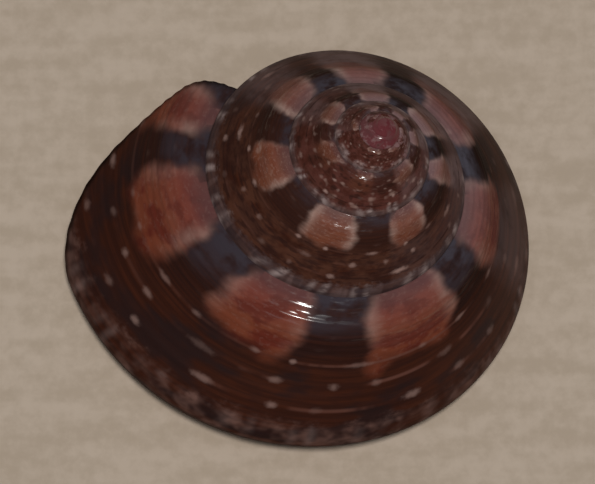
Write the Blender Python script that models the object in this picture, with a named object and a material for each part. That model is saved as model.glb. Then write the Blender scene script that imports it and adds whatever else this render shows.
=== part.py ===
"""Top shell: a small coiled sea snail's shell, lying on its mouth and base.

The shell is one solid. It is worked out as a coil about an axis: the outline of a whorl is
turned about the axis and grows by the same ratio in every turn, so each whorl is an enlarged
copy of the one before and grows onto its widest part. Rings across the coil follow the
slanting growth lines, so the last ring is the edge of the mouth. A hollow follows the whorls
back from the mouth inside the wall. The finished coil is then leaned over, as it lies on a
table, and stood on its lowest point.

Frame: +Z up from the table, origin under the middle of the shell, in metres.
"""
import math

import bmesh
import bpy
import numpy as np
from mathutils import Matrix, Vector

MM = 0.001

# Coil: how it grows, and how finely it is divided.
GROWTH_PER_WHORL = 1.865
RINGS_PER_WHORL = 32
WHORLS = 5.25
UMBILICUS_WHORLS = 3.0
HOLLOW_WHORLS = 2.5

# Outline of the last whorl, from the seam with the whorl above round to the hole in the base:
# (distance from the axis in mm, distance below the tip in mm, how far the growth line has
# fallen back there, in rings).
SEAM = (4.996, 5.653, 0.0)
SHOULDER = (6.309, 6.351, 0.64)
FLANK = (7.336, 7.790, 2.0)
PERIPHERY = (SEAM[0] * GROWTH_PER_WHORL, SEAM[1] * GROWTH_PER_WHORL, 5.0)
BASE = (6.200, 12.600, 6.6)
UMBILICUS_EDGE = (1.40, 11.40, 7.0)
UMBILICUS_TOP = (
    UMBILICUS_EDGE[0] / GROWTH_PER_WHORL,
    UMBILICUS_EDGE[1] / GROWTH_PER_WHORL,
    UMBILICUS_EDGE[2] - PERIPHERY[2],
)

# Points along each stretch of the outline.
SIDE_POINTS = 8
BASE_POINTS = 7
UMBILICUS_POINTS = 3

# Wall of the shell, and the middle of the hollow in the outline's plane, in mm.
WALL = 0.55
EDGE_WALL = 0.22
HOLLOW_CENTRE = (5.3, 9.2)
HOLLOW_END = 7.5
TIP_HEIGHT = 0.09

# How the coil lies on the table, in degrees: where the seam meets the mouth, seen from above,
# and how far and which way the axis leans.
MOUTH_AZIMUTH = 133.4
LEAN = 21.6
LEAN_AZIMUTH = 53.8

SHARP_ANGLE = 40.0
SHELL_COLOUR = (0.045, 0.018, 0.012, 1.0)
SHELL_ROUGHNESS = 0.3


def clear_scene():
    for item in list(bpy.data.objects):
        bpy.data.objects.remove(item, do_unlink=True)


def spline(places, knots, wanted):
    """Natural cubic spline through the knots, read at the wanted places."""
    places, knots = np.asarray(places, float), np.asarray(knots, float)
    gap = np.diff(places)
    slope = np.diff(knots, axis=0) / gap[:, None]
    count = len(places)
    matrix = np.eye(count)
    bend = np.zeros_like(knots)
    for row in range(1, count - 1):
        matrix[row, row - 1:row + 2] = gap[row - 1], 2 * (gap[row - 1] + gap[row]), gap[row]
        bend[row] = 6 * (slope[row] - slope[row - 1])
    bend = np.linalg.solve(matrix, bend)
    points = []
    for place in wanted:
        span = min(max(int(np.searchsorted(places, place, side="right")) - 1, 0), count - 2)
        after = place - places[span]
        before = places[span + 1] - place
        width = gap[span]
        point = (
            (bend[span] * before**3 + bend[span + 1] * after**3) / (6 * width)
            + (knots[span] / width - bend[span] * width / 6) * before
            + (knots[span + 1] / width - bend[span + 1] * width / 6) * after
        )
        points.append(point)
    return points


def whorl_outline():
    """Points of the outline as (radius, drop, fall-back), with the two corner indices."""
    knots = [SEAM, SHOULDER, FLANK, PERIPHERY, BASE, UMBILICUS_EDGE]
    places = [0.0]
    for one, two in zip(knots, knots[1:]):
        places.append(places[-1] + math.dist(one[:2], two[:2]) ** 0.5)
    side = np.linspace(0, places[3], SIDE_POINTS + 1)
    base = np.linspace(places[3], places[5], BASE_POINTS + 1)[1:]
    points = [tuple(point) for point in spline(places, knots, [*side, *base])]
    points[0], points[SIDE_POINTS], points[-1] = SEAM, PERIPHERY, UMBILICUS_EDGE
    for step in range(1, UMBILICUS_POINTS + 1):
        part = step / UMBILICUS_POINTS
        points.append(tuple(a + (b - a) * part for a, b in zip(UMBILICUS_EDGE, UMBILICUS_TOP)))
    return points, SIDE_POINTS, SIDE_POINTS + BASE_POINTS


def on_coil(ring, radius, drop, fall_back):
    """Place of a point of the outline when its growth line starts at this ring."""
    turn = (ring - fall_back) / RINGS_PER_WHORL
    size = GROWTH_PER_WHORL**turn * MM
    angle = math.radians(MOUTH_AZIMUTH) - turn * math.tau
    return Vector((radius * size * math.cos(angle), radius * size * math.sin(angle), -drop * size))


class Coil:
    """Outer skin of the shell, with the seams between whorls shared."""

    def __init__(self, mesh):
        self.mesh = mesh
        self.outline, self.widest, self.hole_edge = whorl_outline()
        self.top = len(self.outline) - 1
        self.back = RINGS_PER_WHORL - round(PERIPHERY[2])
        self.first = -round(WHORLS * RINGS_PER_WHORL)
        self.first_hole = -round(UMBILICUS_WHORLS * RINGS_PER_WHORL)
        self.corners = {}

    def corner(self, ring, index):
        """Corner at a ring and outline point; a seam point is the older whorl's own corner."""
        if index == 0 and ring - self.back >= self.first:
            ring, index = ring - self.back, self.widest
        elif index == self.top and ring - self.back >= self.first_hole:
            ring, index = ring - self.back, self.hole_edge
        if (ring, index) not in self.corners:
            self.corners[ring, index] = self.mesh.verts.new(on_coil(ring, *self.outline[index]))
        return self.corners[ring, index]

    def strip(self, first_ring, first_index, last_index):
        """Faces of one stretch of the outline, from a ring to the mouth."""
        for ring in range(first_ring, 0):
            for index in range(first_index, last_index):
                self.mesh.faces.new((
                    self.corner(ring, index),
                    self.corner(ring, index + 1),
                    self.corner(ring + 1, index + 1),
                    self.corner(ring + 1, index),
                ))

    def mouth(self):
        """Corners round the mouth: the outer lip, then back across the older whorl."""
        lip = [self.corner(0, index) for index in range(self.top + 1)]
        across = [self.corner(-self.back, index) for index in range(self.hole_edge - 1, self.widest, -1)]
        return lip + across


def fan(mesh, loop, tip):
    """Close a loop of corners with triangles to a tip."""
    point = mesh.verts.new(tip)
    for one, two in zip(loop, loop[1:] + loop[:1]):
        mesh.faces.new((one, two, point))


def hollow_outline(coil, wall):
    """The mouth's loop drawn in towards the middle of the whorl, as outline points."""
    loop = [coil.outline[index] for index in range(coil.top + 1)]
    for index in range(coil.hole_edge - 1, coil.widest, -1):
        radius, drop, fall_back = coil.outline[index]
        back = fall_back - PERIPHERY[2]
        loop.append((radius / GROWTH_PER_WHORL, drop / GROWTH_PER_WHORL, back))
    drawn = []
    for radius, drop, fall_back in loop:
        reach = math.dist((radius, drop), HOLLOW_CENTRE)
        keep = 1 - wall / reach
        drawn.append((
            HOLLOW_CENTRE[0] + (radius - HOLLOW_CENTRE[0]) * keep,
            HOLLOW_CENTRE[1] + (drop - HOLLOW_CENTRE[1]) * keep,
            fall_back,
        ))
    return drawn


def bridge(mesh, near, far):
    """Faces between two loops of the same length."""
    count = len(near)
    for index in range(count):
        after = (index + 1) % count
        mesh.faces.new((near[index], near[after], far[after], far[index]))


def build_shell():
    mesh = bmesh.new()
    coil = Coil(mesh)
    coil.strip(coil.first, 0, coil.widest)
    coil.strip(-coil.back, coil.widest, coil.hole_edge)
    coil.strip(coil.first_hole, coil.hole_edge, coil.top)

    tip_loop = [coil.corner(ring, 0) for ring in range(coil.first, coil.first + coil.back)]
    tip_loop += [coil.corner(coil.first, index) for index in range(coil.widest, 0, -1)]
    middle = sum((corner.co for corner in tip_loop), Vector()) / len(tip_loop)
    fan(mesh, tip_loop, middle + Vector((0, 0, TIP_HEIGHT * MM)))

    hole_loop = [coil.corner(ring, coil.top) for ring in range(coil.first_hole, coil.first_hole + coil.back)]
    hole_loop += [coil.corner(coil.first_hole, index) for index in range(coil.hole_edge, coil.top)]
    middle = sum((corner.co for corner in hole_loop), Vector()) / len(hole_loop)
    fan(mesh, hole_loop, middle + Vector((0, 0, TIP_HEIGHT * MM)))

    loop = coil.mouth()
    edge = hollow_outline(coil, EDGE_WALL)
    inside = hollow_outline(coil, WALL)
    for step in range(round(HOLLOW_WHORLS * RINGS_PER_WHORL) + 1):
        outline = edge if step == 0 else inside
        new_loop = [mesh.verts.new(on_coil(-step, *point)) for point in outline]
        bridge(mesh, loop, new_loop)
        loop = new_loop
    fan(mesh, loop, on_coil(-step, *HOLLOW_CENTRE, HOLLOW_END))

    bmesh.ops.recalc_face_normals(mesh, faces=mesh.faces)
    bmesh.ops.triangulate(mesh, faces=mesh.faces)
    return mesh


def lay_down(mesh):
    """Lean the coil over as it lies, and stand it on Z = 0 over the origin."""
    towards = math.radians(LEAN_AZIMUTH)
    hinge = Vector((-math.sin(towards), math.cos(towards), 0))
    mesh.transform(Matrix.Rotation(math.radians(LEAN), 4, hinge))
    places = np.array([corner.co for corner in mesh.verts])
    low, high = places.min(axis=0), places.max(axis=0)
    mesh.transform(Matrix.Translation((-(low[0] + high[0]) / 2, -(low[1] + high[1]) / 2, -low[2])))


def shell_material():
    material = bpy.data.materials.new("shell")
    material.use_nodes = True
    surface = material.node_tree.nodes["Principled BSDF"]
    surface.inputs["Base Color"].default_value = SHELL_COLOUR
    surface.inputs["Roughness"].default_value = SHELL_ROUGHNESS
    surface.inputs["Metallic"].default_value = 0.0
    return material


def main():
    clear_scene()
    mesh = build_shell()
    lay_down(mesh)
    data = bpy.data.meshes.new("shell")
    mesh.to_mesh(data)
    mesh.free()
    data.materials.append(shell_material())
    data.shade_smooth()
    data.set_sharp_from_angle(angle=math.radians(SHARP_ANGLE))
    shell = bpy.data.objects.new("shell", data)
    bpy.context.scene.collection.objects.link(shell)


main()
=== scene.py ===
# %% [markdown]
# # A top shell
#
# A top shell is the house of a small sea snail. It is one piece: the snail adds to the edge of
# the mouth all its life, so the wall, the hole in the base and the pearly room inside are all
# the same sheet. This lesson grows that sheet with a handful of mesh operators, raises the
# cords on it, and paints the pigment that the snail lays down as it grows, with some light
# and shade of the far side painted into it as well.
#
# The packed model comes in first. It says where the shell lies and how big it is, and nothing
# below moves it. The size of its box is kept and printed.

# %% Load the packed model
import math

import bmesh
import bpy
import numpy as np
from mathutils import Matrix, Vector


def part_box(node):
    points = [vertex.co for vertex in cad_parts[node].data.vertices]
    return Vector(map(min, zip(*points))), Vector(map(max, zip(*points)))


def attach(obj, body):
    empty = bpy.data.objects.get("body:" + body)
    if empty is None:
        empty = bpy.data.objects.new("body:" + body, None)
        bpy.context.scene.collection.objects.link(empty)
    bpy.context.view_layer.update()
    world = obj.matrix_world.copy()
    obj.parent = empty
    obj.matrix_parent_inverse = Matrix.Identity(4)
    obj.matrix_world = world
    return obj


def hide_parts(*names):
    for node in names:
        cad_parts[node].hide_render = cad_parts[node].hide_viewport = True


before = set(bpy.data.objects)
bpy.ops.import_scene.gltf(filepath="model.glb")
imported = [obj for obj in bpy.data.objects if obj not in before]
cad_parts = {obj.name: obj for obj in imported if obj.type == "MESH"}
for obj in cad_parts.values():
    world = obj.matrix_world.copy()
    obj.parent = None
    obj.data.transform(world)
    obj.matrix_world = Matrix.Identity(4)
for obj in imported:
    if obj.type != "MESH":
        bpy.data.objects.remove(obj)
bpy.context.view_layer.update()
shell_low, shell_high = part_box("shell")
MM = 0.001
print("packed shell, mm:", [round(side / MM, 2) for side in shell_high - shell_low])

# %% [markdown]
# ## The growth line
#
# Slice a snail shell along its growing edge and the same outline comes up again and again,
# only smaller. So one outline is enough. It starts at the seam with the whorl above, goes over
# the shoulder and down the side to the widest part, then turns under across the base to the
# rim of the navel, the hole that runs up the middle.
#
# Three numbers place each of its corners: how far it is from the axis, how far below the tip,
# and how far the edge has fallen back there, as a part of a whorl. The mouth of this shell
# slants, so the outline isn't flat. A natural cubic spline joins the corners, because a shell's
# wall has no kinks between its seams.

# %% Corners of the growth line
GROWTH = 1.865
SEAM = (4.996, 5.653, 0.0)
SHOULDER = (6.309, 6.351, 0.02)
FLANK = (7.336, 7.790, 0.0625)
WIDEST = (SEAM[0] * GROWTH, SEAM[1] * GROWTH, 0.15625)
BASE = (6.200, 12.600, 0.20625)
NAVEL_RIM = (1.40, 11.40, 0.21875)
NAVEL_TOP = (NAVEL_RIM[0] / GROWTH, NAVEL_RIM[1] / GROWTH, NAVEL_RIM[2] - WIDEST[2])

SIDE_PARTS = 96
BASE_PARTS = 54
NAVEL_PARTS = 10


def spline(places, knots, wanted):
    """Natural cubic spline through the knots, read at the wanted places."""
    gap = np.diff(places)
    slope = np.diff(knots, axis=0) / gap[:, None]
    matrix = np.eye(len(places))
    bend = np.zeros_like(knots)
    for row in range(1, len(places) - 1):
        matrix[row, row - 1:row + 2] = gap[row - 1], 2 * (gap[row - 1] + gap[row]), gap[row]
        bend[row] = 6 * (slope[row] - slope[row - 1])
    bend = np.linalg.solve(matrix, bend)
    span = np.clip(np.searchsorted(places, wanted, side="right") - 1, 0, len(gap) - 1)
    width = gap[span][:, None]
    after = (wanted - places[span])[:, None]
    before = width - after
    return (
        (bend[span] * before**3 + bend[span + 1] * after**3) / (6 * width)
        + (knots[span] / width - bend[span] * width / 6) * before
        + (knots[span + 1] / width - bend[span + 1] * width / 6) * after
    )


corners = np.array([SEAM, SHOULDER, FLANK, WIDEST, BASE, NAVEL_RIM])
chords = np.linalg.norm(np.diff(corners[:, :2], axis=0), axis=1)
places = np.concatenate([[0.0], np.cumsum(np.sqrt(chords))])
side_places = np.linspace(0, places[3], SIDE_PARTS + 1)
base_places = np.linspace(places[3], places[5], BASE_PARTS + 1)[1:]
navel_part = np.linspace(0, 1, NAVEL_PARTS + 1)[1:, None]
growth_line = np.vstack([
    spline(places, corners, np.concatenate([side_places, base_places])),
    np.array(NAVEL_RIM) + (np.array(NAVEL_TOP) - np.array(NAVEL_RIM)) * navel_part,
])
across = np.concatenate([
    side_places / places[3],
    1 + (base_places - places[3]) / (places[5] - places[3]),
    2 + navel_part[:, 0],
])
print("growth line:", len(growth_line), "points")

# %% [markdown]
# ## Laying the growth line down
#
# The outline becomes a string of vertices joined by edges, standing at the mouth. Two number
# layers go with it. "across" says where a vertex is on the outline: 0 at the seam, 1 at the
# widest part, 2 at the rim of the navel and 3 at its top. "back" counts the whorls back from
# the mouth. Extruding copies both, so every later vertex knows its place on the shell, and
# the pigment can follow the growth instead of being stuck on from outside.

# %% The first growth line
MOUTH_AZIMUTH = math.radians(133.4)

shell = bmesh.new()
across_layer = shell.verts.layers.float.new("across")
back_layer = shell.verts.layers.float.new("back")
lag_layer = shell.verts.layers.float.new("lag")


def on_coil(radius, drop, lag):
    """Place of an outline point, in metres, on a coil with its tip at the origin."""
    size = GROWTH**-lag * MM
    angle = MOUTH_AZIMUTH + lag * math.tau
    return Vector((radius * size * math.cos(angle), radius * size * math.sin(angle), -drop * size))


line = []
for (radius, drop, lag), place in zip(growth_line, across):
    vertex = shell.verts.new(on_coil(radius, drop, lag))
    vertex[across_layer] = place
    vertex[lag_layer] = lag
    line.append(vertex)
edges = [shell.edges.new(pair) for pair in zip(line, line[1:])]
print("first growth line:", len(edges), "edges")

# %% [markdown]
# ## Growing one whorl
#
# A spin would make a wheel and a screw would make a spring. A shell also grows, by the same
# ratio in every whorl. So each step extrudes the line and moves the copy with one matrix that
# turns it and shrinks it a little, starting at the mouth and working back.
#
# Each whorl grows onto the widest part of the one before, so the base of an older whorl is
# hidden inside. The base is only extruded for the first stretch, and after that the side and
# the wall of the navel go on alone.

# %% Extrude, turn and shrink
STEPS_PER_WHORL = 128
BASE_STEPS = round((1 - WIDEST[2]) * STEPS_PER_WHORL)


def coil_step(whorls):
    """Matrix that carries a growth line back along the coil by this many whorls."""
    return Matrix.Rotation(whorls * math.tau, 4, "Z") @ Matrix.Scale(GROWTH**-whorls, 4)


def extrude(mesh, loop):
    """Extrude edges, and return the new edges and vertices."""
    made = bmesh.ops.extrude_edge_only(mesh, edges=loop)["geom"]
    new_edges = [item for item in made if isinstance(item, bmesh.types.BMEdge)]
    new_verts = [item for item in made if isinstance(item, bmesh.types.BMVert)]
    return new_edges, new_verts


def mean(item, layer):
    """Mean of a number layer over the corners of an edge or a face."""
    return sum(vertex[layer] for vertex in item.verts) / len(item.verts)


one_step = coil_step(1 / STEPS_PER_WHORL)
for step in range(1, STEPS_PER_WHORL + 1):
    if step == BASE_STEPS + 1:
        edges = [edge for edge in edges if not 1 < mean(edge, across_layer) < 2]
    edges, verts = extrude(shell, edges)
    bmesh.ops.transform(shell, matrix=one_step, verts=verts)
    for vertex in verts:
        vertex[back_layer] = step / STEPS_PER_WHORL
print("one whorl:", len(shell.faces), "faces")

# %% [markdown]
# ## The older whorls
#
# Every whorl is the one before it, turned once round and shrunk, so the older whorls are
# copies. The side is copied until the tip is reached, and the wall of the navel, which is
# steeper and ends sooner, a few times. The top edge of one whorl then lies exactly on the
# widest line of the older one, and merging by distance closes the seams further down.

# %% Copy the whorl back to the tip
WHORLS = 5.25
NAVEL_WHORLS = 3.0

side_faces = [face for face in shell.faces if mean(face, across_layer) < 1]
navel_faces = [face for face in shell.faces if mean(face, across_layer) > 2]
one_whorl = coil_step(1)


def copy_back(faces, whorls):
    """Copy faces one whorl back, again and again, and cut off what is older than asked."""
    for copy in range(math.ceil(whorls) - 1):
        made = bmesh.ops.duplicate(shell, geom=faces)["geom"]
        verts = [item for item in made if isinstance(item, bmesh.types.BMVert)]
        faces = [item for item in made if isinstance(item, bmesh.types.BMFace)]
        bmesh.ops.transform(shell, matrix=one_whorl, verts=verts)
        for vertex in verts:
            vertex[back_layer] += 1
    spare = [face for face in faces if mean(face, back_layer) > whorls]
    bmesh.ops.delete(shell, geom=spare, context="FACES")


copy_back(side_faces, WHORLS)
copy_back(navel_faces, NAVEL_WHORLS)
print("whole coil:", len(shell.faces), "faces")

# %% [markdown]
# ## A map that follows the coil
#
# Pigment is laid down along the growing edge, so its pattern belongs to the coil and not to
# the room. A UV map is the natural home for that: U is how far round the shell a point is,
# in whorls back from the mouth, and V is its place across the whorl. A second value keeps the
# growth line itself, which slants away from U. Both are stored on face corners, before the
# seams are merged, because a seam is the top of one whorl and the bottom of another.

# %% UV map and growth line values
coil_map = shell.loops.layers.uv.new("coil")
growth_value = shell.loops.layers.float.new("growth")
for face in shell.faces:
    for loop in face.loops:
        corner = loop.vert
        loop[coil_map].uv = (corner[back_layer] + corner[lag_layer], corner[across_layer])
        loop[growth_value] = corner[back_layer]

SEAM_GAP = 4e-7
before = len(shell.verts)
bmesh.ops.remove_doubles(shell, verts=shell.verts, dist=SEAM_GAP)
print("merged along the seams:", before - len(shell.verts), "vertices")

# %% [markdown]
# ## Closing the tip and the navel
#
# Two small holes are left: the very first growth line at the tip, and the top of the navel.
# Each gets a low dome. Its ring is extruded and drawn in twice, then merged to one point, so
# the cap is round and has no flat lid. The "back" values tell the three openings apart: the
# mouth's is low, the navel's is higher and the tip's is the highest.

# %% Two small domes
MOUTH_END = 1.5
TIP_DOME = 0.09 * MM
NAVEL_DOME = 0.12 * MM
DOME_RINGS = ((0.72, 0.45), (0.55, 0.35))


def open_edges(low, high):
    """Open edges that lie between these two counts of whorls back."""
    found = [edge for edge in shell.edges if edge.is_boundary]
    return [edge for edge in found if low < mean(edge, back_layer) < high]


def close_with_dome(loop, height):
    """Draw an open ring in and up, ring by ring, and merge it to a point."""
    loop_verts = {vertex for edge in loop for vertex in edge.verts}
    middle = sum((vertex.co for vertex in loop_verts), Vector()) / len(loop_verts)
    for keep, rise in DOME_RINGS:
        loop, verts = extrude(shell, loop)
        shrink = Matrix.Translation(middle) @ Matrix.Scale(keep, 4) @ Matrix.Translation(-middle)
        bmesh.ops.transform(shell, matrix=shrink, verts=verts)
        bmesh.ops.translate(shell, verts=verts, vec=(0, 0, height * rise))
    loop, verts = extrude(shell, loop)
    bmesh.ops.pointmerge(shell, verts=verts, merge_co=middle + Vector((0, 0, height)))


mouth = open_edges(-1, MOUTH_END)
navel_end = NAVEL_WHORLS + 0.5
close_with_dome(open_edges(MOUTH_END, navel_end), NAVEL_DOME)
close_with_dome(open_edges(navel_end, WHORLS + 1), TIP_DOME)
print("edges round the mouth:", len(mouth), "open edges left:", len(open_edges(-1, WHORLS + 1)))

# %% [markdown]
# ## The lip and the room inside
#
# The wall is thin at the lip and thicker inside, where the snail has added layers of mother of
# pearl. The ring round the mouth is extruded a few times, each time sliding every vertex
# towards the middle of the whorl, to round the lip and reach the full wall. From there on
# the ring is carried back round the coil like the outside was, in coarser steps because
# nobody sees far into the shell, and it ends in a point two whorls back.
#
# The pattern goes over the very edge of the lip and stops. So the first rings of faces keep
# the outside's finish, number 0, and every later ring is given number 1, the pearl, as soon
# as it is extruded. The finishes themselves are made further down.

# %% Lip, then the hollow
ROOM_MIDDLE = (5.3, 9.2)
# Each lip ring: how thick the wall is there, in mm, and how many whorls it is set back.
LIP_RINGS = ((0.06, 0.0), (0.16, 0.002), (0.27, 0.008), (0.42, 0.022), (0.55, 0.045))
ROOM_STEPS_PER_WHORL = 24
ROOM_WHORLS = 2.0
ROOM_END_LAG = 0.234
PATTERNED_RINGS = 2
PEARL = 1


def slide_in(vertex, wall):
    """Move a vertex towards the middle of the whorl, within its own upright plane."""
    place = vertex.co
    angle = math.atan2(place.y, place.x)
    lag = ((angle - MOUTH_AZIMUTH) / math.tau + 0.5) % 1 - 0.5
    middle = on_coil(*ROOM_MIDDLE, lag)
    inward = middle - place
    vertex.co = place + inward.normalized() * wall * MM * GROWTH**-lag


def coat_with_pearl(loop):
    """Give the ring of faces that has just been extruded the second finish."""
    for edge in loop:
        edge.link_faces[0].material_index = PEARL


outside_faces = len(shell.faces)
outside_verts = list(shell.verts)
loop = mouth
wall_before, back_before = 0.0, 0.0
for ring, (wall, whorls) in enumerate(LIP_RINGS):
    loop, verts = extrude(shell, loop)
    if ring >= PATTERNED_RINGS:
        coat_with_pearl(loop)
    for vertex in verts:
        slide_in(vertex, wall - wall_before)
    bmesh.ops.transform(shell, matrix=coil_step(whorls - back_before), verts=verts)
    wall_before, back_before = wall, whorls
room_step = coil_step(1 / ROOM_STEPS_PER_WHORL)
for step in range(round(ROOM_WHORLS * ROOM_STEPS_PER_WHORL)):
    loop, verts = extrude(shell, loop)
    coat_with_pearl(loop)
    bmesh.ops.transform(shell, matrix=room_step, verts=verts)
loop, verts = extrude(shell, loop)
coat_with_pearl(loop)
room_end = coil_step(ROOM_WHORLS + back_before) @ on_coil(*ROOM_MIDDLE, ROOM_END_LAG)
bmesh.ops.pointmerge(shell, verts=verts, merge_co=room_end)

bmesh.ops.recalc_face_normals(shell, faces=shell.faces)
shell.normal_update()
print("faces outside, and in all:", outside_faces, len(shell.faces))

# %% [markdown]
# ## Raising the cords
#
# Fine cords run round every whorl, seventeen on the side and nine on the base. Each second one
# on the side is stronger. They could be a bump in the material, but they break up the highlights
# and show against the light at the edge, so they are real: every vertex outside moves along
# its normal by the height of the cord there. Its size follows the whorl, and the height
# falls to nothing at the seams, so that these stay closed.
#
# The same move rounds the shoulder a little and adds slow ripples along the growth lines,
# where the snail grew faster or slower. Their heights are random, from a fixed seed.

# %% Cords and growth ripples
CORD_PITCH = 0.115
STRONG_CORD = 0.54
BASE_CORDS = 9
CORD_HEIGHT = 0.015
CORD_CONTRAST = 0.3
OLD_CORDS = 0.4
CORD_DECAY_WHORLS = 3
SIDE_FADES = (0.04, 0.03)
BASE_CORD_HEIGHT = 0.040
BASE_FADES = (0.05, 0.08)
SHOULDER_FULLNESS = 0.07
SHOULDER_END = 0.40
RIPPLE_HEIGHT = 0.010
RIPPLE_STEPS = 5
RIPPLE_SEED = 7

ripple_draw = np.random.default_rng(RIPPLE_SEED)
ripples = ripple_draw.uniform(-1, 1, round(WHORLS * STEPS_PER_WHORL / RIPPLE_STEPS) + 3)


def fullness(place):
    """Extra roundness of the shoulder, in mm on the last whorl."""
    if place > SHOULDER_END:
        return 0.0
    return SHOULDER_FULLNESS * math.sin(math.pi * place / SHOULDER_END) ** 1.5


def cord_height(whorls, place):
    """Height of the cords, in mm on the last whorl, at a place across it."""
    if place <= 1:
        fade = min(1, place / SIDE_FADES[0], (1 - place) / SIDE_FADES[1])
        wear = max(OLD_CORDS, 1 - whorls / CORD_DECAY_WHORLS)
        phase = math.tau * (place - STRONG_CORD) / CORD_PITCH
        contrast = 1 - CORD_CONTRAST + CORD_CONTRAST * math.cos(phase)
        return CORD_HEIGHT * fade * wear * contrast * math.cos(2 * phase)
    if place <= 2:
        fade = min(1, (place - 1) / BASE_FADES[0], (2 - place) / BASE_FADES[1])
        return BASE_CORD_HEIGHT * fade * math.cos(math.tau * BASE_CORDS * (place - 1))
    return 0.0


def ripple_height(whorls, place):
    """Height of the slow ripples along the growth lines, in mm on the last whorl."""
    if place > 2:
        return 0.0
    step = whorls * STEPS_PER_WHORL / RIPPLE_STEPS
    first = int(step)
    blend = step - first
    blend = blend * blend * (3 - 2 * blend)
    height = ripples[first] * (1 - blend) + ripples[first + 1] * blend
    return RIPPLE_HEIGHT * height * math.sin(math.pi * place) ** 2


moved = []
for vertex in outside_verts:
    whorls, place = vertex[back_layer], vertex[across_layer]
    height = fullness(place) + cord_height(whorls, place) + ripple_height(whorls, place)
    size = GROWTH ** -(whorls + vertex[lag_layer])
    moved.append((vertex, vertex.normal * height * size * MM))
for vertex, move in moved:
    vertex.co += move
print("vertices moved:", len(moved), "cords on the side:", round(2 / CORD_PITCH))

# %% [markdown]
# ## Laying the shell down
#
# The shell lies on its mouth and base, so the axis leans. The lean and its direction are the
# packed model's, and its box says where the middle and the lowest point have to be. The move
# goes into the mesh and the object stays at the origin, as every piece of the model does.

# %% Lean it and set it on the floor
LEAN = math.radians(21.6)
LEAN_AZIMUTH = math.radians(53.8)


def new_object(name, data):
    """Make an object from its data and put it in the scene."""
    made = bpy.data.objects.new(name, data)
    bpy.context.scene.collection.objects.link(made)
    return made


def object_from(name, built):
    """Turn a mesh that has been built into an object of the scene."""
    data = bpy.data.meshes.new(name)
    built.to_mesh(data)
    built.free()
    return new_object(name, data)


hinge = Vector((-math.sin(LEAN_AZIMUTH), math.cos(LEAN_AZIMUTH), 0))
bmesh.ops.rotate(shell, verts=shell.verts, cent=(0, 0, 0), matrix=Matrix.Rotation(LEAN, 3, hinge))
placed = np.array([vertex.co for vertex in shell.verts])
low, high = placed.min(axis=0), placed.max(axis=0)
packed_middle = (shell_low + shell_high) / 2
tip = Vector((
    packed_middle.x - (low[0] + high[0]) / 2,
    packed_middle.y - (low[1] + high[1]) / 2,
    shell_low.z - low[2],
))
bmesh.ops.translate(shell, verts=shell.verts, vec=tip)

top_shell = object_from("top_shell", shell)
shell_data = top_shell.data
shell_data.shade_smooth()
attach(top_shell, "root")
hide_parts("shell")
print("tip of the shell, mm:", [round(part / MM, 2) for part in tip])

# %% [markdown]
# ## Camera
#
# The camera looks almost straight down on the shell from the side of the floor nearest to the
# viewer, through a long lens as for any small thing. It aims beside the tip, to take in the
# whole body whorl.

# %% Camera over the shell
CAMERA_ELEVATION = math.radians(82.8)
CAMERA_DISTANCE = 0.1744
LENS = 341.8
FILM_WIDTH = 36
NEAREST_SEEN = 0.01
AIM_RIGHT, AIM_UP = -2.782 * MM, -3.699 * MM

view_right = Vector((1, 0, 0))
view_up = Vector((0, math.sin(CAMERA_ELEVATION), math.cos(CAMERA_ELEVATION)))
view_back = Vector((0, -math.cos(CAMERA_ELEVATION), math.sin(CAMERA_ELEVATION)))
aim = tip + view_right * AIM_RIGHT + view_up * AIM_UP

camera_data = bpy.data.cameras.new("camera")
camera_data.lens = LENS
camera_data.sensor_width = FILM_WIDTH
camera_data.clip_start = NEAREST_SEEN
camera = new_object("camera", camera_data)
camera.location = aim + view_back * CAMERA_DISTANCE
camera.rotation_euler = (math.pi / 2 - CAMERA_ELEVATION, 0, 0)
bpy.context.scene.camera = camera
print("camera height, mm:", round(camera.location.z / MM, 1))

# %% [markdown]
# ## Light
#
# Gloss shows as a reflection of the lamp, so the size of a lamp decides the look of the shell.
# A small soft box close beside the lens gives short, bright sparks on the cords that face it
# and hides its own shadow under the shell. A wide, weak panel behind the lens and a dim sky
# fill in the rest.

# %% Soft lights
LAMP_RIGHT, LAMP_UP, LAMP_BACK = 0.004, 0.011, 0.24
LAMP_SIZE, LAMP_POWER = 0.014, 0.31
WARM_WHITE = (1.0, 0.96, 0.92)
PANEL_BACK = 0.50
PANEL_SIZE, PANEL_POWER = 0.30, 0.20
COOL_WHITE = (0.86, 0.94, 1.0)
SKY_WHITE = (0.95, 0.97, 1.0, 1.0)
SKY_STRENGTH = 0.05


def area_lamp(name, place, size, power, colour):
    """Square lamp that faces the shell."""
    lamp_data = bpy.data.lights.new(name, "AREA")
    lamp_data.size = size
    lamp_data.energy = power
    lamp_data.color = colour
    lamp = new_object(name, lamp_data)
    lamp.location = place
    lamp.rotation_euler = (Vector(place) - aim).to_track_quat("Z", "Y").to_euler()


lamp_place = aim + view_back * LAMP_BACK + view_right * LAMP_RIGHT + view_up * LAMP_UP
area_lamp("lamp_by_the_lens", lamp_place, LAMP_SIZE, LAMP_POWER, WARM_WHITE)
area_lamp("wide_panel", aim + view_back * PANEL_BACK, PANEL_SIZE, PANEL_POWER, COOL_WHITE)

sky = bpy.data.worlds.new("sky")
sky.use_nodes = True
sky_light = sky.node_tree.nodes["Background"]
sky_light.inputs["Color"].default_value = SKY_WHITE
sky_light.inputs["Strength"].default_value = SKY_STRENGTH
bpy.context.scene.world = sky
bpy.context.scene.view_settings.view_transform = "Standard"
print("lamps:", [lamp.name for lamp in bpy.data.lights])

# %% [markdown]
# ## Helpers for materials
#
# A material is a graph of nodes. This small class adds nodes to one graph, and each of its
# calls returns a node's output, so the recipes below read like sums. A value handed to it may
# be a plain number, a colour or the output of another node. The two numbers of a ramp are
# nearly always levels to cut a noise at, or places across or along the coil.

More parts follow.
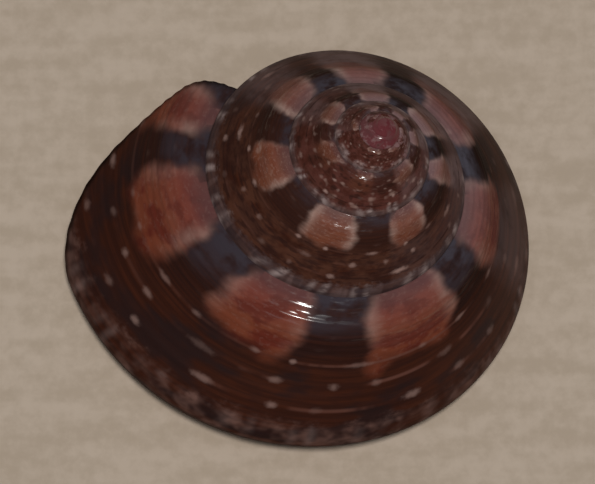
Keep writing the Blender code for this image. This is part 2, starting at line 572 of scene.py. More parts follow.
# %% A class that adds nodes
class Graph:
    """Adds nodes to a tree and wires them up."""

    def __init__(self, tree):
        self.tree = tree

    def feed(self, socket, value):
        """Give a socket a number, a colour or the output of a node."""
        if isinstance(value, bpy.types.NodeSocket):
            self.tree.links.new(value, socket)
        elif isinstance(value, tuple) and len(value) == 3 and socket.type == "RGBA":
            socket.default_value = (*value, 1.0)
        else:
            socket.default_value = value

    def wire(self, node, inputs):
        """Feed several inputs of a node, each by its name or its number."""
        for key, value in inputs.items():
            self.feed(node.inputs[key], value)

    def add(self, kind, inputs, output=0, **settings):
        """Add a node, set it up, feed its inputs, and return one of its outputs."""
        node = self.tree.nodes.new("ShaderNode" + kind)
        for name, value in settings.items():
            setattr(node, name, value)
        self.wire(node, inputs)
        return node.outputs[output]

    def maths(self, operation, one, two=0.0):
        return self.add("Math", {0: one, 1: two}, operation=operation)

    def plus(self, first, *others):
        for other in others:
            first = self.maths("ADD", first, other)
        return first

    def times(self, first, *others):
        for other in others:
            first = self.maths("MULTIPLY", first, other)
        return first

    def without(self, mask):
        """The rest of a mask: 1 where it is 0."""
        return self.maths("SUBTRACT", 1.0, mask)

    def between(self, mask, at_zero, at_one):
        """One number where the mask is 0, the other where it is 1."""
        return self.plus(at_zero, self.times(mask, at_one - at_zero))

    def weaken(self, mask, by):
        """1 where the mask is 0, down to 1 - by where it is 1."""
        return self.between(mask, 1.0, 1.0 - by)

    def swing(self, noise, size):
        """A noise as a push to both sides, this large from end to end."""
        return self.times(self.plus(noise, -0.5), size)

    def ramp(self, value, low, high):
        """0 at low and 1 at high, smooth between. Low may be the larger."""
        inputs = {"Value": value, "From Min": low, "From Max": high}
        return self.add("MapRange", inputs, "Result", interpolation_type="SMOOTHSTEP")

    def mix(self, factor, first, second):
        """The first colour where the factor is 0, the second where it is 1."""
        return self.add("Mix", {0: factor, 6: first, 7: second}, 2, data_type="RGBA")

    def place(self, x, y):
        """A place in a plane, for a texture to read."""
        return self.add("CombineXYZ", {0: x, 1: y})

    def noise(self, place, scale, detail=3.0, roughness=0.5):
        """Noise about 0.5. Nearly all of it lies between 0.3 and 0.7."""
        inputs = {"Vector": place, "Scale": scale, "Detail": detail, "Roughness": roughness}
        return self.add("TexNoise", inputs, "Fac")

    def attribute(self, name):
        """A number that is stored with the mesh."""
        return self.add("Attribute", {}, "Fac", attribute_name=name)

    def bump(self, height, strength, distance):
        """Normals tilted by a height, which counts for this many metres."""
        inputs = {"Height": height, "Strength": strength, "Distance": distance}
        return self.add("Bump", inputs, "Normal")


def new_material(name):
    """A material, its graph and its surface shader."""
    material = bpy.data.materials.new(name)
    material.use_nodes = True
    return material, Graph(material.node_tree), material.node_tree.nodes["Principled BSDF"]


print("helpers:", [name for name in vars(Graph) if not name.startswith("_")])

# %% [markdown]
# ## Where the pale blotches are
#
# The strongest marks are blotches that hang from the seam like a fringe. Each is a rounded
# block, and a distance to its edge is the handiest way to keep one: positive inside, negative
# outside. A material can cut that at zero for the outline, and read how deep inside a point
# is to give the blotch its pale margin. The distance is worked out once for every face
# corner and stored with the mesh, since no pattern node draws a list of shapes.
#
# Four values are stored. "blotch" is the distance, with the corners rounded at both ends.
# "margin" is how pale the edge is, most on the older side, where the snail began the blotch
# with a pale line. "column" is 1 straight below and above a blotch, whatever the height, and
# "trail" is the same times how much of the blotch goes on down the side.
#
# A row of the list gives where a blotch starts and ends at the seam, in degrees back from the
# mouth, how far down the whorl it reaches, how many degrees it leans back by halfway down,
# how pale its margin is, and how much of it goes on below.

# %% List of blotches
BLOTCHES = (
    (7, 25, 0.50, 0, 0.60, 0.0), (39, 67, 0.55, -1, 0.50, 0.0),
    (88, 119, 0.50, -2, 0.45, 0.0), (141, 176, 0.54, 0, 0.60, 0.0),
    (193, 226, 0.56, 7, 0.60, 0.3), (246, 276, 0.62, 9, 0.70, 0.8),
    (301, 327, 0.62, 2, 0.85, 0.8), (348, 374, 0.52, -5, 0.95, 0.4),
    (396, 427, 0.48, -1, 0.75, 0.0), (454, 485, 0.49, 0, 0.90, 0.0),
    (511, 538, 0.52, 0, 0.80, 0.1), (562, 582, 0.58, 10, 0.80, 0.7),
    (606, 634, 0.72, 2, 0.95, 1.0), (659, 688, 0.68, 2, 0.90, 1.0),
    (716, 742, 0.46, 0, 0.80, 0.4), (768, 797, 0.36, -2, 0.45, 0.0),
    (823, 848, 0.20, 0, 0.45, 0.0), (880, 907, 0.42, 2, 0.55, 0.3),
    (938, 962, 0.58, 6, 0.75, 1.0), (985, 1010, 0.62, 4, 0.80, 1.0),
    (1038, 1060, 0.52, 0, 0.80, 0.6), (1096, 1120, 0.26, 0, 0.80, 0.2),
    (1176, 1205, 0.17, 0, 0.90, 0.0), (1238, 1262, 0.24, 0, 0.90, 0.0),
    (1292, 1318, 0.28, 0, 0.70, 0.0), (1352, 1376, 0.25, 0, 0.70, 0.0),
    (1412, 1436, 0.25, 0, 0.60, 0.0),
)
print("blotches:", len(BLOTCHES))

# %% Blotches as a signed distance
HALFWAY = 0.5
DEGREES_PER_WIDTH = 42
BLOTCH_ROUNDING = 7.0
SEAM_OVERLAP = 0.5
FAR_OUTSIDE = -20.0
MARGIN_WIDTH = 5.5
YOUNG_SIDE = 0.75
MIDDLE_PALENESS = 0.20
COLUMN_SOFTNESS = 6.0

corner_count = len(shell_data.loops)
uv = np.empty(corner_count * 2, np.float32)
shell_data.uv_layers["coil"].uv.foreach_get("vector", uv)
degrees = uv[0::2].astype(float) * 360
place_across = uv[1::2].astype(float)

inside_by = np.full(corner_count, FAR_OUTSIDE)
margin = np.zeros(corner_count)
column = np.zeros(corner_count)
trail = np.zeros(corner_count)
for start, end, reach, lean, pale, going_on in BLOTCHES:
    shifted = degrees - lean * place_across / HALFWAY
    to_sides = np.minimum(shifted - start, end - shifted)
    to_foot = (reach - place_across) * DEGREES_PER_WIDTH
    cut_side = np.maximum(BLOTCH_ROUNDING - to_sides, 0)
    depth = np.minimum(to_sides, to_foot)
    for to_end in (to_foot, place_across * DEGREES_PER_WIDTH + SEAM_OVERLAP):
        cut_end = np.maximum(BLOTCH_ROUNDING - to_end, 0)
        rounded = BLOTCH_ROUNDING - np.hypot(cut_side, cut_end)
        depth = np.where((cut_side > 0) & (cut_end > 0), np.minimum(depth, rounded), depth)
    old_side = np.clip(1 - (end - shifted) / MARGIN_WIDTH, 0, 1)
    young_side = np.clip(1 - (shifted - start) / MARGIN_WIDTH, 0, 1) * YOUNG_SIDE
    middle = MIDDLE_PALENESS * pale
    paleness = middle + (1 - middle) * np.maximum(old_side, young_side)
    margin = np.where(depth > inside_by, pale * paleness, margin)
    inside_by = np.maximum(inside_by, depth)
    under = np.clip(0.5 + to_sides / COLUMN_SOFTNESS, 0, 1)
    column = np.maximum(column, under)
    trail = np.maximum(trail, going_on * under)

painted = (("blotch", inside_by), ("margin", margin), ("column", column), ("trail", trail))
for name, values in painted:
    attribute = shell_data.attributes.new(name, "FLOAT", "CORNER")
    attribute.data.foreach_set("value", values.astype(np.float32))
print("corners inside a blotch:", int((inside_by > 0).sum()), "of", corner_count)

# %% [markdown]
# ## Growth lines, a group that two finishes share
#
# The snail stops and starts, and each stop leaves a hair line across the whorl. The outside
# has them, and they show through the pearl near the lip. A node group holds them once: it
# reads the growth value that the mesh carries and stretches noise along it.

# %% Growth line group
ALONG_A_LINE = 5.0

growth_lines = bpy.data.node_groups.new("growth lines", "ShaderNodeTree")
growth_lines.interface.new_socket("Fineness", in_out="INPUT", socket_type="NodeSocketFloat")
growth_lines.interface.new_socket("Lines", in_out="OUTPUT", socket_type="NodeSocketFloat")
group = Graph(growth_lines)
fineness = growth_lines.nodes.new("NodeGroupInput").outputs["Fineness"]
over = group.add("SeparateXYZ", {0: group.add("UVMap", {}, uv_map="coil")}, 1)
growth = group.times(group.attribute("growth"), fineness)
line_place = group.place(growth, group.times(over, ALONG_A_LINE))
group_out = growth_lines.nodes.new("NodeGroupOutput")
group.feed(group_out.inputs["Lines"], group.noise(line_place, 1.0, 4.0, 0.6))


def growth_line_noise(graph, fineness):
    """Place the group in a material, with its own fineness."""
    return graph.add("Group", {"Fineness": fineness}, "Lines", node_tree=growth_lines)


print("nodes in the group:", len(growth_lines.nodes))

# %% [markdown]
# ## The patterned outside
#
# The pigment is built up as the eye reads it: a red-brown ground with fine streaks along the
# cords, the blotches with pale margins, what goes on faintly below them, a blue-grey haze by
# the seam between them, lines and dashes on the strong cords, and a barred band just above the
# next seam. Everything is placed by the coil map, so it turns and shrinks with the whorls.
#
# First come the coordinates, the noises that many steps share, and three masks: the
# penultimate whorl and all before it, the whorls older than that, and the far side of each
# whorl, where light and shade are painted into the colour. A mask is a value from 0 to 1 that
# says where a step works.

# %% Outside: coordinates, noises and masks
FAR_SIDE_MIDDLE = 0.75

skin_material, skin, surface = new_material("patterned_shell")
coil_place = skin.add("UVMap", {}, uv_map="coil")
round_by = skin.add("SeparateXYZ", {0: coil_place}, 0)
across_by = skin.add("SeparateXYZ", {0: coil_place}, 1)


def coil_noise(along, over, detail=3.0, roughness=0.55):
    """Noise with this many patches to a whorl, and this many across one."""
    where = skin.place(skin.times(round_by, along), skin.times(across_by, over))
    return skin.noise(where, 1.0, detail, roughness)


def uneven(noise, amount):
    """Place across the whorl, pushed down the side by a noise so that edges aren't straight."""
    return skin.plus(across_by, skin.times(noise, amount))


def tell(step):
    """Print how far the recipe has come."""
    print(step, "done, nodes so far:", len(skin_material.node_tree.nodes))


streaks = coil_noise(10, 36, 3.0, 0.6)
cloud = coil_noise(26, 6, 3.0, 0.6)
patch = coil_noise(14, 6, 3.0, 0.55)
speckle = coil_noise(150, 34, 2.0, 0.6)
penultimate = skin.ramp(round_by, 0.80, 1.15)
older = skin.ramp(round_by, 1.72, 2.25)
# Far side of each whorl: painted light and painted shade, a lighter bluer haze and lilac by the
# seam, a darker upper ground, fainter marks and a paler lower half.
toward_far_side = skin.maths("PINGPONG", skin.plus(round_by, FAR_SIDE_MIDDLE - 1), 0.5)
far_side_shading = skin.ramp(toward_far_side, 0.15, 0.42)
tell("noises and masks")

# %% [markdown]
# ### Ground of the younger whorls
#
# The glands that make pigment sit along the edge of the mouth, and each draws its own line as
# the shell grows. So the ground is streaked along the coil: the noise changes slowly round the
# whorl and quickly across it. High up by the seam the ground is darkest. Lower down it is
# warmer, with rusty streaks, cold patches and a fine dark mottling, and before the last whorl
# it turns tan. On the far side of each whorl it is painted darker, with less rust and tan, as
# painted shade.

# %% Outside: ground
DARK_BROWN = (0.0330, 0.0128, 0.0104)
FAR_SIDE_SHADE = (0.0190, 0.0085, 0.0066)
BLUE_BLACK = (0.0230, 0.0135, 0.0140)
BROWN = (0.0410, 0.0130, 0.0082)
RUST = (0.0660, 0.0190, 0.0102)
TAN_BROWN = (0.0950, 0.0360, 0.0220)

warm = skin.mix(skin.ramp(streaks, 0.36, 0.66), BROWN, RUST)
tan = skin.times(penultimate, skin.ramp(cloud, 0.34, 0.60), skin.weaken(far_side_shading, 0.5))
warm = skin.mix(tan, warm, TAN_BROWN)
cold = skin.times(skin.ramp(patch, 0.48, 0.62), skin.weaken(penultimate, 0.6), 0.75)
warm = skin.mix(cold, warm, BLUE_BLACK)

# Darker ground with less rust and tan on the far side: painted shade.
dark = skin.mix(far_side_shading, DARK_BROWN, FAR_SIDE_SHADE)
rusty = skin.times(skin.ramp(streaks, 0.40, 0.68), skin.weaken(far_side_shading, 0.6), 0.45)
dark = skin.mix(rusty, dark, RUST)
dark = skin.mix(skin.times(penultimate, skin.without(far_side_shading), 0.15), dark, TAN_BROWN)

low = skin.ramp(uneven(patch, 0.25), 0.52, 0.74)
ground = skin.mix(low, dark, warm)
mottle = skin.times(skin.ramp(coil_noise(44, 26, 2.0, 0.6), 0.55, 0.34), low)
mottle = skin.times(mottle, skin.between(penultimate, 0.35, 0.75))
ground = skin.mix(mottle, ground, DARK_BROWN)
tell("ground")

# %% [markdown]
# ### Ground of the older whorls
#
# The small whorls near the tip are years older and have been rubbed by sand. Their ground is
# rosier and spotted, dark between the blotches and orange around them. The two tones use the
# values that were stored with the blotches: "column" is 1 at any height under a blotch.

# %% Outside: older ground
OLD_BROWN = (0.0760, 0.0225, 0.0155)
OLD_ROSE = (0.1250, 0.0420, 0.0330)
OLD_DARK = (0.0400, 0.0150, 0.0110)
OLD_ORANGE = (0.1300, 0.0440, 0.0260)

old_ground = skin.mix(skin.ramp(cloud, 0.36, 0.64), OLD_BROWN, OLD_ROSE)
upper = skin.times(skin.ramp(uneven(patch, 0.25), 0.76, 0.56), skin.ramp(round_by, 3.2, 2.6))
gap = skin.times(upper, skin.without(skin.attribute("column")), skin.ramp(toward_far_side, 0.0, 0.16))
old_ground = skin.mix(skin.times(gap, 0.65), old_ground, OLD_DARK)
around_blotch = skin.times(upper, skin.attribute("column"), 0.7)
old_ground = skin.mix(around_blotch, old_ground, OLD_ORANGE)
old_spots = coil_noise(34, 7, 1.0, 0.5)
dark_spots = skin.times(skin.ramp(old_spots, 0.44, 0.32), 0.7)
old_ground = skin.mix(dark_spots, old_ground, OLD_DARK)
rubbed = skin.times(older, skin.weaken(skin.ramp(patch, 0.50, 0.62), 0.35))
ground = skin.mix(rubbed, ground, old_ground)
tell("older ground")

# %% [markdown]
# ### Flesh of the blotches
#
# The stored distance is cut near zero to make the blotches. Two noises are added to it first,
# a broad one that bends the outline and a fine one that frays it, because a clean curve would
# look like a sticker. Inside, salmon turns to orange downwards, with deep red clouds and a
# lilac tint by the seam, and the older blotches are browner.

# %% Outside: blotches
ROSE_LILAC = (0.118, 0.054, 0.057)
SALMON = (0.225, 0.050, 0.034)
ORANGE = (0.215, 0.055, 0.028)
DEEP_RED = (0.140, 0.024, 0.015)
OCHRE = (0.190, 0.062, 0.027)

bend = skin.swing(coil_noise(18, 4, 1.0, 0.5), skin.between(older, 12.0, 30.0))
fringe = skin.swing(coil_noise(48, 12, 2.0, 0.5), 3.0)
blotch_depth = skin.plus(skin.attribute("blotch"), bend, fringe)
in_blotch = skin.ramp(blotch_depth, -3.4, 2.2)

flesh = skin.mix(skin.ramp(uneven(cloud, 0.3), 0.26, 0.54), SALMON, ORANGE)
flesh = skin.mix(skin.times(skin.ramp(cloud, 0.54, 0.40), 0.9), flesh, DEEP_RED)
flesh = skin.mix(skin.times(penultimate, 0.50), flesh, OCHRE)
flesh = skin.mix(skin.times(older, 0.65), flesh, OLD_ORANGE)
by_seam = skin.times(skin.ramp(uneven(patch, 0.2), 0.30, 0.10), 0.8)
flesh = skin.mix(by_seam, flesh, ROSE_LILAC)
tell("blotches")

# %% [markdown]
# ### Pale margins and specks
#
# Each blotch is rimmed with cream, broken here and there. The rim fades towards the foot, and
# the stored "margin" already says how strong it is. Cream clouds and specks lie inside, a cool
# lilac is painted over the upper part of the far side as painted light, and only then is the
# flesh laid on the ground. On the far side the rims of the older whorls also reach further
# down and the cream clouds are more, which is painted light too. The oldest whorls have loose
# cream spots besides.

# %% Outside: margins
CREAM_PINK = (0.460, 0.310, 0.265)
PALE_LILAC = (0.330, 0.225, 0.240)

broken = skin.between(skin.ramp(patch, 0.34, 0.58), 0.35, 1.10)
# On the far side of the older whorls the pale rims reach further down: painted light.
pale_end = skin.plus(0.62, skin.times(penultimate, 0.38), skin.times(older, far_side_shading, 0.40))
pale = skin.times(skin.attribute("margin"), broken, skin.ramp(across_by, pale_end, 0.18))
pale = skin.times(pale, skin.weaken(older, 0.25))
# More cream clouds on the penultimate whorl, and on the far side as painted light.
cream_clouds = skin.between(skin.maths("MAXIMUM", penultimate, far_side_shading), 0.05, 0.35)
cream_clouds = skin.times(skin.ramp(cloud, 0.58, 0.70), cream_clouds)
cream_specks = skin.times(skin.ramp(speckle, 0.52, 0.68), skin.between(penultimate, 0.08, 0.18))
flesh = skin.mix(skin.plus(pale, cream_clouds, cream_specks), flesh, CREAM_PINK)
# Cool lilac over the upper far side: painted light, not pigment.
cool_light_reach = skin.ramp(uneven(patch, 0.3), 0.95, 0.15)
far_side_cool_light = skin.times(cool_light_reach, cool_light_reach, far_side_shading, skin.between(penultimate, 0.36, 0.58))
flesh = skin.mix(far_side_cool_light, flesh, PALE_LILAC)

pigment = skin.mix(in_blotch, ground, flesh)
cream_spots = skin.times(skin.ramp(old_spots, 0.60, 0.78), older, 0.50)
pigment = skin.mix(cream_spots, pigment, CREAM_PINK)
tell("margins")

# %% [markdown]
# ### What goes on below a blotch
#
# A gland that has made a blotch often goes on weakly, and leaves a dusty pink trail down the
# side. The stored "trail" says under which blotches, and how strongly. The lower half of the
# far side is painted paler and duller as a whole, which is painted light.

# %% Outside: trails
DUSTY_PINK = (0.215, 0.146, 0.147)
DULL_TAN = (0.190, 0.132, 0.104)

lower = skin.ramp(uneven(patch, 0.20), 0.42, 0.66)
faded = skin.times(skin.attribute("trail"), skin.between(skin.ramp(cloud, 0.36, 0.60), 0.4, 1.0))
trail = skin.times(faded, skin.plus(skin.without(in_blotch), skin.times(in_blotch, lower, 0.75)))
pigment = skin.mix(trail, pigment, DUSTY_PINK)
# Paler, duller lower half of the far side: painted light.
far_side_paling = skin.times(far_side_shading, skin.ramp(across_by, 0.46, 0.80), skin.between(penultimate, 0.26, 0.38))
far_side_paling_colour = skin.mix(penultimate, DULL_TAN, DUSTY_PINK)
pigment = skin.mix(far_side_paling, pigment, far_side_paling_colour)
tell("trails")

# %% [markdown]
# ### Blue-grey haze by the seam
#
# Between the blotches a thin chalky layer lies over the dark ground and looks blue-grey, as
# smoke does against a dark wall. It fades down the side, at a height that depends on the side
# of the shell, and the clouds thin it in places. On the far side its grey is painted lighter
# and bluer, as painted light from that side.

# %% Outside: haze
BLUE_GREY = (0.054, 0.043, 0.055)
FAR_SIDE_LIT_GREY = (0.084, 0.078, 0.100)
OLD_GREY = (0.110, 0.072, 0.076)

near_side_penultimate = skin.times(penultimate, skin.without(far_side_shading))
haze_end = skin.plus(0.60, skin.times(far_side_shading, -0.10), skin.times(near_side_penultimate, -0.22))
haze = skin.times(skin.ramp(uneven(patch, 0.40), haze_end, 0.18), skin.without(in_blotch))
haze = skin.times(haze, skin.between(skin.ramp(cloud, 0.36, 0.58), 0.22, 1.14))
haze = skin.times(haze, skin.ramp(round_by, 3.10, 2.95), skin.weaken(near_side_penultimate, 0.35))
# Lighter, bluer grey on the far side: painted light.
grey = skin.mix(skin.times(far_side_shading, skin.weaken(penultimate, 0.35)), BLUE_GREY, FAR_SIDE_LIT_GREY)
grey = skin.mix(skin.times(older, 0.8), grey, OLD_GREY)
pigment = skin.mix(haze, pigment, grey)
tell("haze")

# %% [markdown]
# ### Lines on the strong cords
#
# Dashes and bars come in a steady beat round the shell, with more of them to a whorl on the
# young whorls, where there is more room. The beat is a coordinate that goes up by one from
# mark to mark: a straight part for the old whorls and a part that dies away for the young
# ones.
#
# The strong cords carry thin lines, pale in some stretches and dark in others. The distance to
# the nearest cord comes from a ping-pong of the place across, and the number of the cord from
# rounding it. The number shifts the noise, so that each cord has stretches of its own.

# %% Outside: beat and cord lines
OLD_BEAT = 11.0
YOUNG_BEAT = 11.8
BEAT_DECAY = 1.1
ROW_SHIFT = 3.3
CORD_LINE = (0.170, 0.072, 0.054)

dying_away = skin.maths("EXPONENT", skin.times(round_by, -BEAT_DECAY))
beat = skin.plus(skin.times(round_by, OLD_BEAT), skin.times(dying_away, -YOUNG_BEAT))

from_first = skin.plus(across_by, -STRONG_CORD)
from_cord = skin.maths("PINGPONG", from_first, CORD_PITCH / 2)
row = skin.maths("ROUND", skin.times(from_first, 1 / CORD_PITCH))
row_offset = skin.times(row, ROW_SHIFT)
on_side = skin.times(skin.ramp(across_by, 0.50, 0.53), skin.ramp(across_by, 0.90, 0.80))
thin = skin.times(skin.ramp(from_cord, 0.014, 0.002), on_side)
line_noise = skin.noise(skin.place(skin.times(round_by, 20.0), row_offset), 1.0, 3.0, 0.6)
first_row = skin.times(skin.ramp(across_by, 0.60, 0.57), 0.10)
pale_line = skin.times(thin, skin.ramp(skin.plus(line_noise, first_row), 0.48, 0.62))
# Pale lines fainter on the far side: painted shade.
pale_line = skin.times(pale_line, skin.weaken(far_side_shading, 0.8), skin.weaken(penultimate, 0.7))
pale_line = skin.times(pale_line, skin.between(skin.ramp(round_by, 0.26, 0.44), 0.20, 0.75))
pigment = skin.mix(pale_line, pigment, CORD_LINE)
dark_line = skin.times(thin, skin.ramp(line_noise, 0.50, 0.40), skin.between(penultimate, 0.3, 0.7))
pigment = skin.mix(dark_line, pigment, DARK_BROWN)
tell("cord lines")

# %% [markdown]
# ### Rows of dashes
#
# A dash is a small ellipse: one where its place along the beat and its distance from the cord,
# each measured in dash sizes, lie less than 1 from its middle. Each row starts at its own
# place, the spacing wobbles, and each dash has its own strength, drawn by a white noise that
# reads the numbers of its row and place.

# %% Outside: dashes
DASH = (0.36, 0.23, 0.20)

row_lot = skin.add("TexWhiteNoise", {"W": row}, "Value", noise_dimensions="1D")
wobble = skin.noise(skin.place(skin.times(beat, 0.6), row_offset), 1.0, 0.0)
dash_place = skin.plus(beat, row_lot, skin.times(wobble, 1.6))
dash_number = skin.place(skin.maths("ROUND", dash_place), row)
dash_lot = skin.add("TexWhiteNoise", {"Vector": dash_number}, "Value", noise_dimensions="2D")
dash_length = skin.between(penultimate, 0.16, 0.12)
dash_height = skin.plus(0.020, skin.times(round_by, 0.007))
along_dash = skin.maths("DIVIDE", skin.maths("PINGPONG", dash_place, 0.5), dash_length)
over_dash = skin.maths("DIVIDE", from_cord, dash_height)
squares = skin.plus(skin.times(along_dash, along_dash), skin.times(over_dash, over_dash))
from_dash = skin.plus(skin.maths("SQRT", squares), skin.swing(speckle, 1.0))
dash_strength = skin.plus(0.12, skin.times(dash_lot, skin.between(penultimate, 0.55, 0.90)))
dash = skin.times(skin.ramp(from_dash, 1.05, 0.1), dash_strength)
dash = skin.times(dash, skin.between(skin.ramp(across_by, 0.42, 0.50), 0.08, 1.0))
# Dashes fainter on the far side: painted shade.
dash = skin.times(dash, skin.ramp(across_by, 0.90, 0.84), skin.weaken(far_side_shading, 0.7))
pigment = skin.mix(dash, pigment, DASH)
tell("dashes")

# %% [markdown]
# ### The band above the seam
#
# The widest part of a whorl carries a band of its own. On the last whorl it is marbled in pink
# and brown. On the older ones, where it runs just above the seam, it is slate grey with fine
# pink bars, and the beat sets chalky beads on it, wider and more even towards the tip.

# %% Outside: band
SLATE = (0.072, 0.049, 0.053)
MARBLE = (0.150, 0.085, 0.075)
YOUNG_MARBLE = (0.205, 0.108, 0.088)
PINK_GREY = (0.240, 0.160, 0.155)

band = skin.times(skin.ramp(uneven(speckle, 0.12), 0.87, 0.96), skin.ramp(across_by, 1.06, 1.0))
marbled = skin.plus(skin.times(skin.ramp(cloud, 0.40, 0.62), 0.5), skin.times(older, 0.4))
old_band = skin.mix(marbled, SLATE, MARBLE)
marbling = skin.ramp(coil_noise(64, 9, 2.0, 0.5), 0.36, 0.78)
young_band = skin.mix(marbling, ground, YOUNG_MARBLE)
band_colour = skin.mix(skin.ramp(round_by, 0.60, 0.85), young_band, old_band)
band_colour = skin.mix(skin.times(trail, 0.8), band_colour, DUSTY_PINK)
# The painted light of the far side's lower half covers the band too.
band_colour = skin.mix(skin.times(far_side_paling, 0.8), band_colour, far_side_paling_colour)
fine_bars = skin.times(skin.ramp(coil_noise(70, 1.5, 1.0, 0.5), 0.50, 0.66), penultimate, 0.45)
band_colour = skin.mix(fine_bars, band_colour, PINK_GREY)
band_depth = skin.between(skin.ramp(patch, 0.38, 0.54), 0.55, 0.90)
pigment = skin.mix(skin.times(band, band_depth), pigment, band_colour)
tell("band")

# %% Outside: chalky beads
CHALK = (0.400, 0.310, 0.300)
BEADS = ((0.20, 0.55), (0.50, 1.0))

towards_tip = skin.ramp(round_by, 1.8, 3.2)
bead_place = skin.plus(beat, coil_noise(9, 1.5, 0.0))
bead_width = skin.between(towards_tip, 0.13, 0.25)
top = skin.plus(across_by, skin.times(towards_tip, 0.12), skin.times(speckle, 0.10))
on_band = skin.times(skin.ramp(top, 0.86, 0.95), skin.ramp(across_by, 1.05, 1.0))
on_band = skin.times(on_band, skin.between(skin.ramp(cloud, 0.40, 0.58), 0.20, 1.0))
on_band = skin.times(on_band, skin.between(skin.ramp(round_by, 0.45, 0.8), 0.15, 1.0))
on_band = skin.times(on_band, skin.weaken(skin.ramp(round_by, 2.8, 3.3), 0.35))
for bead, strength in BEADS:
    from_bead = skin.maths("PINGPONG", skin.plus(bead_place, -bead), 0.5)
    stripe = skin.times(skin.ramp(from_bead, bead_width, 0.0), on_band, strength)
    pigment = skin.mix(stripe, pigment, CHALK)
tell("beads")

# %% [markdown]
# ### Base, navel and tip
#
# Under the shell the cords carry rows of cream dots on brown. Cells of a Voronoi texture do
# that, with one row of cells to a cord. The wall of the navel is white. The tip is worn down
# to its rose-red core, and noise on Object coordinates breaks the edge of the worn part,
# because the coil map is too tight up there.

# %% Outside: base, navel and tip
BASE_BROWN = (0.060, 0.020, 0.012)
BASE_CREAM = (0.300, 0.180, 0.130)
NAVEL_WHITE = (0.62, 0.55, 0.46)
TIP_RED = (0.165, 0.036, 0.043)
TIP_ROSE = (0.155, 0.056, 0.060)
TIP_PALE = (0.270, 0.160, 0.160)
DOTS_PER_WHORL = 46.0
DOT_DISORDER = 0.55
TIP_NOISE_SCALE = 2600.0

dot_place = skin.place(skin.times(round_by, DOTS_PER_WHORL), skin.times(across_by, BASE_CORDS))
dots = {"Vector": dot_place, "Scale": 1.0, "Randomness": DOT_DISORDER}
dot_distance = skin.add("TexVoronoi", dots, "Distance", voronoi_dimensions="2D")
base_colour = skin.mix(skin.ramp(dot_distance, 0.50, 0.28), BASE_BROWN, BASE_CREAM)
pigment = skin.mix(skin.ramp(across_by, 1.10, 1.25), pigment, base_colour)
pigment = skin.mix(skin.ramp(across_by, 1.86, 2.02), pigment, NAVEL_WHITE)

tip_noise = skin.noise(skin.add("TexCoord", {}, "Object"), TIP_NOISE_SCALE, 3.0, 0.6)
tip_age = skin.plus(round_by, skin.swing(tip_noise, 3.0))
core = skin.ramp(tip_age, 4.05, 4.50)
tip_colour = skin.mix(core, TIP_ROSE, TIP_RED)
tip_spots = skin.times(skin.ramp(tip_noise, 0.52, 0.62), skin.ramp(round_by, 5.4, 4.2), 0.8)
tip_colour = skin.mix(tip_spots, tip_colour, TIP_PALE)
pigment = skin.mix(skin.ramp(tip_age, 3.72, 4.00), pigment, tip_colour)
tell("base, navel and tip")

# %% [markdown]
# ### Gloss and fine relief
#
# The growth lines and the streaks go into a bump, since they are finer than the mesh. The
# surface is silky all over. A clear coat, in patches where the shell is still polished and on
# the worn core of the tip, gives the short bright sparks.

# %% Outside: gloss
LINE_FINENESS = 210.0
BUMP_STRENGTH = 0.35
BUMP_DEPTH = 0.02 * MM
COAT_IN_PATCHES = 0.7
COAT_ON_TIP = 0.6

lines = growth_line_noise(skin, LINE_FINENESS)
relief = skin.plus(skin.times(lines, 0.6), skin.times(streaks, 0.5))
polish = skin.ramp(coil_noise(46, 24, 2.0, 0.5), 0.50, 0.62)
polish = skin.times(polish, skin.ramp(across_by, 0.42, 0.30), skin.ramp(round_by, 0.12, 0.22))
polish = skin.times(polish, skin.without(far_side_shading), COAT_IN_PATCHES)
polish = skin.plus(polish, skin.times(core, COAT_ON_TIP))
skin.wire(surface, {
    "Base Color": pigment,
    "Normal": skin.bump(relief, BUMP_STRENGTH, BUMP_DEPTH),
    "Roughness": 0.55,
    "Specular IOR Level": 0.03,
    "Coat Weight": polish,
    "Coat Roughness": 0.14,
})
shell_data.materials.append(skin_material)
tell("gloss")

# %% [markdown]
# ## Mother of pearl
#
# Inside, thin plates of shell split the light into pinks and greens. A soft noise over the
# object picks the tint from place to place, so the colour stays put when the viewer moves,
# and a clear coat with a low roughness gives the wet shine on top. It is the second material
# on the mesh, which is the number that the inner rings of faces were given.

# %% Pearl inside
PEARL_GREEN = (0.62, 0.70, 0.62)
PEARL_PINK = (0.76, 0.64, 0.66)
PEARL_BLUE = (0.70, 0.70, 0.80)
PEARL_CREAM = (0.82, 0.78, 0.70)
TINTS_PER_METRE = 260.0
PEARL_LINE_FINENESS = 60.0
PEARL_BUMP_STRENGTH = 0.25
PEARL_BUMP_DEPTH = 0.03 * MM

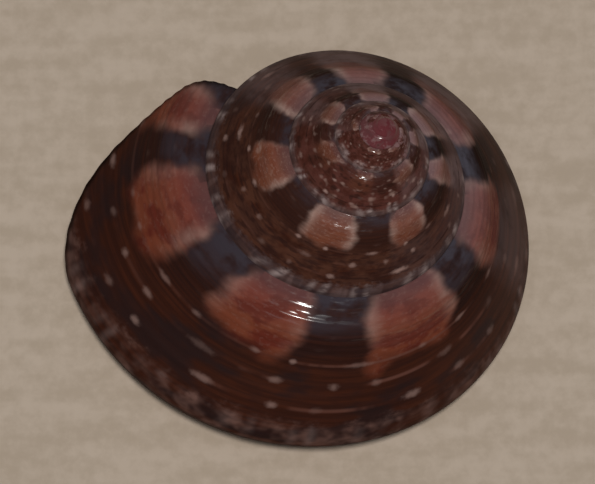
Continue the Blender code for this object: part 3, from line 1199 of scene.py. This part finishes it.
pearl_material, pearl, surface = new_material("mother_of_pearl")
tint = pearl.noise(pearl.add("TexCoord", {}, "Object"), TINTS_PER_METRE, 2.0)
pearl_lines = growth_line_noise(pearl, PEARL_LINE_FINENESS)
colour = pearl.mix(pearl.ramp(tint, 0.38, 0.52), PEARL_GREEN, PEARL_PINK)
colour = pearl.mix(pearl.ramp(tint, 0.54, 0.66), colour, PEARL_BLUE)
creamy = pearl.times(pearl.ramp(pearl_lines, 0.4, 0.7), 0.3)
colour = pearl.mix(creamy, colour, PEARL_CREAM)
pearl.wire(surface, {
    "Base Color": colour,
    "Normal": pearl.bump(pearl_lines, PEARL_BUMP_STRENGTH, PEARL_BUMP_DEPTH),
    "Metallic": 0.35,
    "Roughness": 0.28,
    "Coat Weight": 0.6,
    "Coat Roughness": 0.12,
})
shell_data.materials.append(pearl_material)
pearly = sum(1 for polygon in shell_data.polygons if polygon.material_index == PEARL)
print("finishes:", [material.name for material in shell_data.materials], "faces in pearl:", pearly)

# %% [markdown]
# ## The floor
#
# The shell lies on a sheet of pale drawing paper. Its laid lines are hardly there: one noise,
# squeezed across the sheet, makes them in the colour, and a much finer one makes the grain.

# %% Paper floor
FLOOR_RADIUS = 2.0
FLOOR_SIDES = 96
LAID_SCALE = 260.0
LAID_SQUEEZE = (1.0, 5.0, 1.0)
GRAIN_SCALE = 1900.0
PAPER_SHADE = (0.545, 0.447, 0.350)
PAPER_PALE = (0.640, 0.533, 0.432)

sheet = bmesh.new()
bmesh.ops.create_circle(sheet, cap_ends=True, segments=FLOOR_SIDES, radius=FLOOR_RADIUS)
paper_floor = object_from("paper_floor", sheet)

paper_material, paper, surface = new_material("laid_paper")
sheet_place = paper.add("TexCoord", {}, "Object")
squeezed = paper.add("Mapping", {"Vector": sheet_place, "Scale": LAID_SQUEEZE})
laid = paper.noise(squeezed, LAID_SCALE, 2.0)
grain = paper.noise(sheet_place, GRAIN_SCALE, 3.0, 0.6)
tone = paper.plus(paper.times(laid, 0.5), paper.times(grain, 0.5))
sheet_colour = paper.mix(paper.ramp(tone, 0.36, 0.64), PAPER_SHADE, PAPER_PALE)
paper.wire(surface, {"Base Color": sheet_colour, "Roughness": 0.9, "Specular IOR Level": 0.2})
paper_floor.data.materials.append(paper_material)
print("floor radius, m:", FLOOR_RADIUS)

# %% [markdown]
# ## The end
#
# The number of triangles in the shell is printed.

# %% Count the triangles
print("triangles:", sum(len(polygon.vertices) - 2 for polygon in shell_data.polygons))
